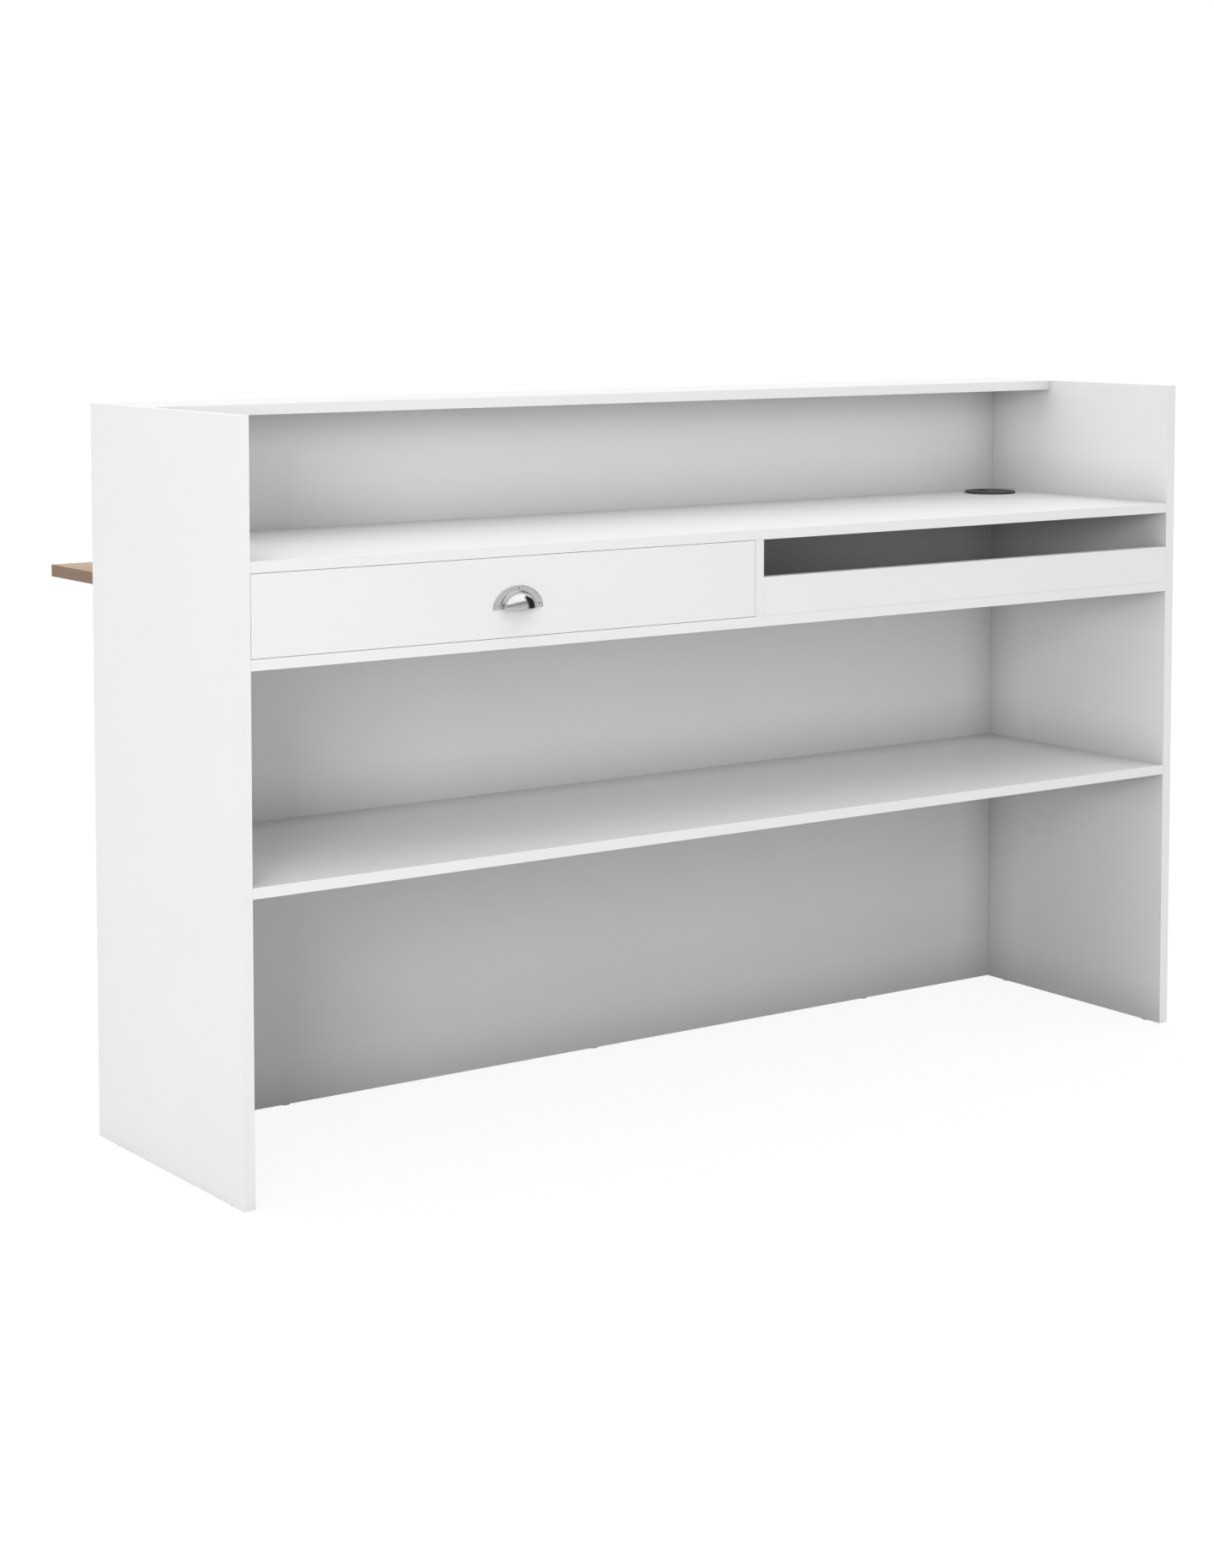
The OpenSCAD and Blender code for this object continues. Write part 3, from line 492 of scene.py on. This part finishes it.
BOARDS = {
    # node: (body, axis across its thickness)
    "left_side_panel": ("carcass", 0),
    "right_side_panel": ("carcass", 0),
    "customer_panel": ("carcass", 1),
    "top_shelf": ("carcass", 2),
    "worktop": ("carcass", 2),
    "box_floor": ("carcass", 2),
    "box_divider": ("carcass", 0),
    "compartment_fascia": ("carcass", 1),
    "middle_shelf": ("carcass", 2),
    "drawer_front": ("drawer", 1),
    "drawer_left_side": ("drawer", 0),
    "drawer_right_side": ("drawer", 0),
    "drawer_back": ("drawer", 1),
    "drawer_brace": ("drawer", 2),
}
CORNER_DEPTH = {"carcass": 0.75, "drawer": 0.0}
for node, (body, across) in BOARDS.items():
    low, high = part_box(node)
    board = board_piece(
        node + "_board", node, body,
        white_melamine("melamine_" + node, low, high, across, CORNER_DEPTH[body]))

LEDGE_ARRIS = 0.9 * MM
low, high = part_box("wood_ledge")
ledge = board_piece(
    "oak_ledge_board", "wood_ledge", "carcass", oak_board("oak", low, high), LEDGE_ARRIS)

# ---------------------------------------------------------------- cup pull

FLANGE_W, FLANGE_H, FLANGE_T = 86 * MM, 33.5 * MM, 1.8 * MM
CUP_W, CUP_H, CUP_REACH = 54 * MM, 23 * MM, 21 * MM
pull_low, pull_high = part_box("drawer_pull")
PULL_X = (pull_low[0] + pull_high[0]) / 2
PULL_BACK = pull_high[1]
PULL_FOOT = pull_low[2]


def cup_section():
    """The middle section of the pull as rows of (half width, flat part, rise, height): round
    the flange, over the cup's outside along a superellipse, round its lip, back inside."""
    bend = np.linspace(0, np.pi / 2, 26)[:, None]
    fullness = 2 / 2.35

    def arc(half_width, flat, rise, height, turn):
        return np.concatenate(
            [half_width + 0 * turn, flat + 0 * turn, rise * np.sin(turn) ** fullness,
             height * np.cos(turn) ** fullness], axis=1)

    outside = arc(CUP_W / 2 + FLANGE_T, FLANGE_T, CUP_REACH - FLANGE_T, CUP_H + FLANGE_T, bend)
    inside = arc(CUP_W / 2, 0.0, CUP_REACH - FLANGE_T, CUP_H, bend[::-1])
    wide, tall, ease = FLANGE_W / 2, FLANGE_H, 0.8 * MM
    turn = np.linspace(0, np.pi / 2, 6)[:, None]
    rim = np.concatenate(
        [wide - ease + ease * np.cos(turn), FLANGE_T - ease + ease * np.sin(turn), 0 * turn,
         tall - ease + ease * np.cos(turn)], axis=1)
    fillet = 1.3 * MM
    foot = outside[0] + np.array([fillet, 0, 0, fillet])
    climb = outside[np.argmax(outside[:, 2] > fillet)]
    t = np.linspace(0, 1, 7)[:, None]
    root = (1 - t) ** 2 * foot + 2 * t * (1 - t) * outside[0] + t ** 2 * climb
    face = rim[-1] + (foot - rim[-1]) * np.linspace(0, 1, 8)[1:-1, None]
    shell = outside[outside[:, 2] > climb[2]]
    lip_start, lip_end = shell[-1], inside[0]
    drop = 0.75 * MM
    shell = shell[:-1]
    shell[:, 3] = drop + shell[:, 3] * (1 - drop / tall)
    inside[:, 3] = drop + inside[:, 3] * (1 - drop / CUP_H)
    u = np.linspace(0, np.pi, 9)[:, None]
    middle, half = (lip_start + lip_end) / 2, (lip_start - lip_end) / 2
    lip = middle + half * np.cos(u)
    lip[:, 3] = drop * (1 - np.sin(u[:, 0]))
    back = inside[-1] * [1, 0, 0, 1]
    back_rim = np.array([wide, 0.0, 0.0, tall])
    return np.concatenate([[back_rim], rim, face, root, shell, lip, inside, [back]])


def cup_pull(body, material):
    """The pull: at each angle round the half oval the middle section is squeezed, with
    x = half width times cosine, z = height times sine, and rise times sine to the 0.85."""
    section = cup_section()
    around = np.linspace(0, np.pi, 97)[:, None]
    lift = np.clip(np.sin(around), 0, 1)
    x = PULL_X + section[:, 0] * np.cos(around)
    y = PULL_BACK - section[:, 1] - section[:, 2] * lift ** 0.85
    z = PULL_FOOT + section[:, 3] * lift
    grid = np.stack([x, y, z], axis=2)
    return piece_from_sheets(
        "cup_pull", [(grid, False, True)], body, material, sharp=40.0, fill=True)


def oval_screws(spots, head_r, shank_r, length, crown, face_y):
    """Oval-head screws pointing into +Y. Each is one turned surface from the head's centre
    over its rim to the tip; the crown is crown times (1 - (r/R)^2), less a smooth cross."""
    turn = np.linspace(0, 2 * np.pi, 32, endpoint=False)[None, :]
    ring = np.linspace(0, 1, 15)[:, None] * head_r
    across, up = ring * np.cos(turn), ring * np.sin(turn)
    arm, reach = head_r * 0.13, head_r * 0.62

    def slot(a, b):
        return np.clip((reach - np.abs(a)) / (0.1 * head_r), 0, 1) * np.clip(
            (arm - np.abs(b)) / (0.08 * head_r) + 0.5, 0, 1)

    cross = np.maximum(slot(across, up), slot(up, across))
    cross_deep, head_deep, point = 0.7 * MM, 1.4 * MM, 3 * MM
    proud = crown * (1 - (ring / head_r) ** 2) - cross * cross_deep
    stem = np.array([[shank_r, head_deep], [shank_r, length - point], [0.0, length]])
    sheets = []
    for x, z in spots:
        top = np.stack([x + across, face_y - proud, z + up], axis=2)
        rest = np.stack(
            [x + stem[:, :1] * np.cos(turn), face_y + stem[:, 1:] + 0 * turn,
             z + stem[:, :1] * np.sin(turn)], axis=2)
        sheets.append((np.concatenate([top, rest]), False, True))
    return sheets


chrome = satin_chrome()
pull = cup_pull("drawer", chrome)
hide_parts("drawer_pull")

SIDE_SCREW_X, SIDE_SCREW_Z = (FLANGE_W + CUP_W) / 4 + 0.5 * MM, 5 * MM
TOP_SCREW_Z = (FLANGE_H + CUP_H + FLANGE_T) / 2
SCREW_HEAD_R, SCREW_SHANK_R, SCREW_LENGTH, SCREW_CROWN = 2.3 * MM, 1.25 * MM, 15 * MM, 0.5 * MM
pull_screws = piece_from_sheets(
    "cup_pull_screws",
    oval_screws(
        [(PULL_X - SIDE_SCREW_X, PULL_FOOT + SIDE_SCREW_Z),
         (PULL_X + SIDE_SCREW_X, PULL_FOOT + SIDE_SCREW_Z),
         (PULL_X, PULL_FOOT + TOP_SCREW_Z)],
        SCREW_HEAD_R, SCREW_SHANK_R, SCREW_LENGTH, SCREW_CROWN, PULL_BACK - FLANGE_T),
    "drawer", chrome, sharp=45.0)
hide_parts("drawer_pull_screws")

# ---------------------------------------------------------------- cable grommet

ring_low, ring_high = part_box("grommet_ring")
GROMMET = ((ring_low[0] + ring_high[0]) / 2, (ring_low[1] + ring_high[1]) / 2, ring_low[2])
RIM_R = (ring_high[0] - ring_low[0]) / 2
RIM_TOP = ring_high[2] - ring_low[2]
SEAT_R, BORE_R, SLEEVE_R, SLEEVE_IN = RIM_R - 4 * MM, RIM_R - 7 * MM, 39.7 * MM, 37.7 * MM
WORKTOP_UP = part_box("worktop")[1][2] - ring_low[2]
RIM_FOOT, SEAT_UP, SLEEVE_SHOULDER = (
    WORKTOP_UP - 0.4 * MM, WORKTOP_UP + 1.2 * MM, WORKTOP_UP - 2 * MM)
# Each corner of the ring's half section: its radius, its height, and how far it is rounded.
RING_CORNERS = np.array([
    (BORE_R, SEAT_UP, 0.3 * MM), (BORE_R, WORKTOP_UP, 0.3 * MM),
    (SLEEVE_IN, SLEEVE_SHOULDER, 0.4 * MM), (SLEEVE_IN, 0.0, 0.4 * MM),
    (SLEEVE_R, 0.0, 0.4 * MM), (SLEEVE_R, RIM_FOOT, 0.1 * MM), (RIM_R, RIM_FOOT, 0.2 * MM),
    (RIM_R, RIM_TOP, 2.6 * MM), (SEAT_R, RIM_TOP, 0.5 * MM), (SEAT_R, SEAT_UP, 0.2 * MM)])
ring_profile = eased(RING_CORNERS[:, :2], RING_CORNERS[:, 2])
charcoal = moulded_charcoal()
ring = piece_from_sheets(
    "grommet_rim", [(turned(ring_profile, GROMMET, 128), True, True)], "carcass", charcoal)
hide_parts("grommet_ring")

# ---------------------------------------------------------------- carried-over hardware

FITTINGS = {
    "hardboard": (pressed_hardboard(), ["drawer_bottom"]),
    "white_steel": (powder_coat(), ["ledge_brackets"]),
    "zinc_steel": (zinc_sheet(), [
        "ledge_bracket_screws", "ledge_screws", "cam_bolts", "slide_cabinet_screws",
        "slide_drawer_screws", "drawer_cam_bolts", "drawer_back_screws",
        *(f"{side}_slide_{part}" for side in ("left", "right")
          for part in ("outer", "middle", "inner", "outer_cage", "inner_cage"))]),
    "zinc_alloy": (zinc_casting(), ["cam_locks", "drawer_cam_locks"]),
    "bearing_steel": (ball_steel(), [
        f"{side}_slide_{race}_balls" for side in ("left", "right")
        for race in ("outer", "inner")]),
    "beech": (beech_dowel(), ["wood_dowels", "drawer_dowels"]),
    "white_plastic": (moulded_white(), ["cam_covers", "floor_glides"]),
    "charcoal_plastic": (charcoal, ["grommet_cap"]),
}
for material, nodes in FITTINGS.values():
    for node in nodes:
        for place in NODES[node].material_slots:
            place.material = material

# ---------------------------------------------------------------- light and stage

def flat_sheet(name, corners):
    """One flat four-sided sheet, put into the scene."""
    mesh = bpy.data.meshes.new(name)
    mesh.from_pydata(corners, [], [(0, 1, 2, 3)])
    return placed(name, mesh)


# White paper, whitened where it is looked at. Light that bounces off the paper under the
# counter is held back, which keeps the knee space deep.
FLOOR_HALF = 30.0
PAPER, PAPER_LOW, PAPER_UNDER = (0.80, 0.80, 0.80), (0.79, 0.79, 0.79), (0.12, 0.12, 0.12)
PAPER_GLOW, PAPER_WHITENING = 1.04, 0.86
UNDER_X, UNDER_Y, UNDER_SOFT = CAD_BOX[1][0] - 10 * MM, CAD_BOX[1][1] - 80 * MM, 30 * MM
UNDER_MIDDLE_Y = -60 * MM
floor = flat_sheet(
    "studio_floor",
    [(-FLOOR_HALF, -FLOOR_HALF, 0), (FLOOR_HALF, -FLOOR_HALF, 0),
     (FLOOR_HALF, FLOOR_HALF, 0), (-FLOOR_HALF, FLOOR_HALF, 0)])
paper = Finish("studio_paper", Roughness=0.9)
under = (
    paper.ramp(abs(paper.x), UNDER_X - UNDER_SOFT, UNDER_X + UNDER_SOFT, 1.0, 0.0)
    * paper.ramp(
        abs(paper.y - UNDER_MIDDLE_Y), UNDER_Y - UNDER_SOFT, UNDER_Y + UNDER_SOFT, 1.0, 0.0)
    * paper.node("LightPath", out="Is Diffuse Ray"))
sheet_tone = paper.blend(paper.ramp(paper.noise(2.0, 3.0), 0.3, 0.7), PAPER, PAPER_LOW)
paper.surface(paper.blend(under, sheet_tone, PAPER_UNDER))
glow = paper.node("Emission", {}, {"Color": (1.0, 1.0, 1.0, 1.0), "Strength": PAPER_GLOW})
seen = paper.node("LightPath", out="Is Camera Ray")
whitened = paper.node("MixShader", {}, {
    0: seen * PAPER_WHITENING, 1: Wire(paper, paper.shader.outputs[0]), 2: glow})
paper.feed(paper.tree.nodes["Material Output"].inputs["Surface"], whitened)
floor.data.materials.append(paper.material)

# Radiance of the studio walls by sine of elevation, as seen by matt surfaces and as mirrored
# in metal, which gets a darker belt under a bright ceiling. The backdrop itself is plain
# white. Wall light that would arrive only after many bounces is held back a little.
WALLS = [(0.0, 0.54), (0.22, 0.52), (0.45, 0.54), (0.70, 0.76), (0.90, 0.92), (1.0, 0.94)]
MIRRORED = [(0.0, 0.60), (0.10, 0.50), (0.22, 0.26), (0.34, 0.30), (0.48, 1.1), (1.0, 1.1)]
WALL_STRENGTH, BACKDROP_STRENGTH = 1.51, 1.02
FREE_BOUNCES, LATE_LIGHT = 1.5, 0.75
world = bpy.data.worlds.new("studio")
world.use_nodes = True
world.cycles.sampling_method = "NONE"
walls = Bench(world.node_tree, "Generated")
matt_tone, mirror_tone = (
    walls.node(
        "ValToRGB", {"stops": [(at, (tone, tone, tone)) for at, tone in stops]}, {0: walls.z})
    for stops in (WALLS, MIRRORED))
wall_tone = walls.blend(walls.node("LightPath", out="Is Glossy Ray"), matt_tone, mirror_tone)
late = walls.node("LightPath", out="Diffuse Depth") > FREE_BOUNCES
lit = walls.node("Background", {}, {
    "Color": wall_tone, "Strength": (1.0 - late * (1.0 - LATE_LIGHT)) * WALL_STRENGTH})
white = walls.node("Background", {}, {
    "Color": (1.0, 1.0, 1.0, 1.0), "Strength": BACKDROP_STRENGTH})
backdrop = walls.node("MixShader", {}, {
    0: walls.node("LightPath", out="Is Camera Ray"), 1: lit, 2: white})
walls.feed(world.node_tree.nodes["World Output"].inputs["Surface"], backdrop)
bpy.context.scene.world = world


def soft_box(name, at, aim, size, power):
    """A large square lamp at a point, turned towards another point."""
    lamp = bpy.data.lights.new(name, "AREA")
    lamp.shape = "SQUARE"
    lamp.size = size
    lamp.energy = power
    box = placed(name, lamp)
    box.location = at
    box.rotation_euler = (Vector(aim) - Vector(at)).to_track_quat("-Z", "Y").to_euler()
    box.visible_camera = False
    return box


KEY_AT, KEY_AIM, KEY_SIZE, KEY_POWER = (-4.5, -4.1, 1.9), (0.0, 0.0, 0.7), 1.6, 83.0
key = soft_box("key", KEY_AT, KEY_AIM, KEY_SIZE, KEY_POWER)
key.visible_glossy = False

# A black flag to the right of the pull, seen only in reflections.
FLAG_X, FLAG_NEAR, FLAG_FAR, FLAG_TOP = 1.6, -0.45, -2.4, 3.2
flag = flat_sheet(
    "black_flag",
    [(FLAG_X, FLAG_NEAR, 0), (FLAG_X, FLAG_FAR, 0), (FLAG_X, FLAG_FAR, FLAG_TOP),
     (FLAG_X, FLAG_NEAR, FLAG_TOP)])
cloth = Finish("black_flag_cloth", Roughness=1.0)
cloth.surface(cloth.blend(cloth.noise(40.0), (0.010, 0.010, 0.010), (0.016, 0.016, 0.016)))
flag.data.materials.append(cloth.material)
flag.visible_camera = flag.visible_diffuse = flag.visible_shadow = False

# ---------------------------------------------------------------- camera

CAMERA_AT = (-2.8318, -3.8553, 1.2971)
CAMERA_TILT, CAMERA_TURN = 85.844, -35.404
FOCAL_LENGTH, SENSOR_WIDTH = 68.556, 36.0
SHIFT_X, SHIFT_Y = 0.0029, -0.19
FAR_CLIP = 200.0
lens = bpy.data.cameras.new("camera")
lens.sensor_width = SENSOR_WIDTH
lens.sensor_fit = "AUTO"
lens.lens = FOCAL_LENGTH
lens.shift_x, lens.shift_y = SHIFT_X, SHIFT_Y
lens.clip_end = FAR_CLIP
camera = placed("camera", lens)
camera.location = CAMERA_AT
camera.rotation_euler = (math.radians(CAMERA_TILT), 0.0, math.radians(CAMERA_TURN))
bpy.context.scene.camera = camera
bpy.context.scene.view_settings.view_transform = "Standard"
